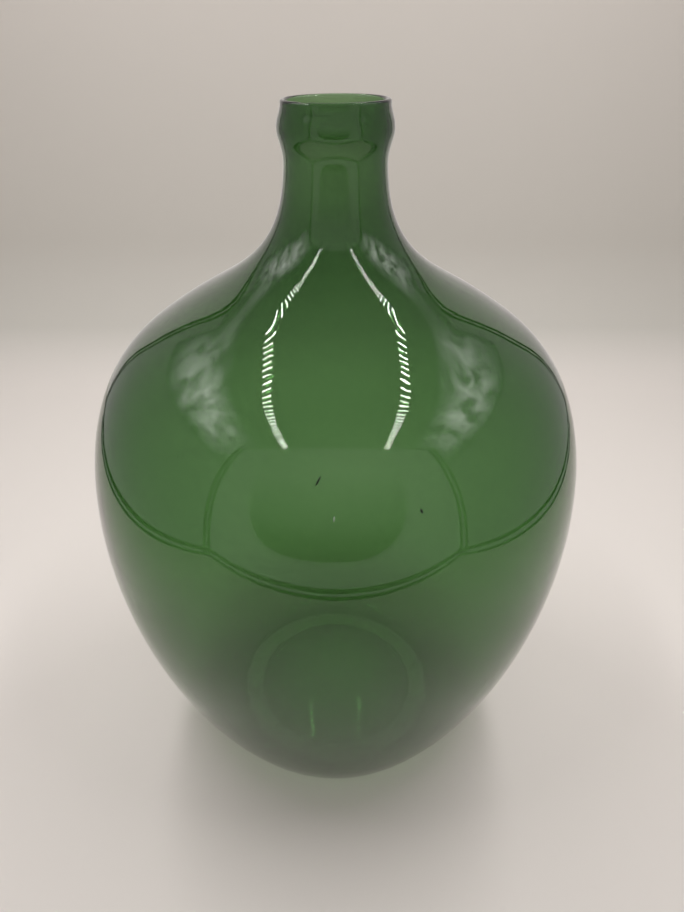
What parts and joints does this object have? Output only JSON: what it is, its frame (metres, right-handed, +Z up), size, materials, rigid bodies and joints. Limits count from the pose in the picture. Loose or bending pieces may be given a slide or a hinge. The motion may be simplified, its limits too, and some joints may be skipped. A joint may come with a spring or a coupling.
{
  "type": "carboy",
  "caption": "Hollow round-shouldered blown glass vessel with a beaded neck and open mouth, for fermenting and storing wine or beer.",
  "frame": {"origin": "centre of the resting ring, on the surface that the vessel stands on", "axes": "+Z up the axis, out of the mouth; the vessel is round, so +X and +Y are any two level directions at right angles"},
  "size_m": [0.2964, 0.2964, 0.42],
  "materials": {
    "green_glass": "clear bottle-green blown glass"
  },
  "bodies": {
    "root": {"glass_vessel": "green_glass"}
  },
  "joints": []
}
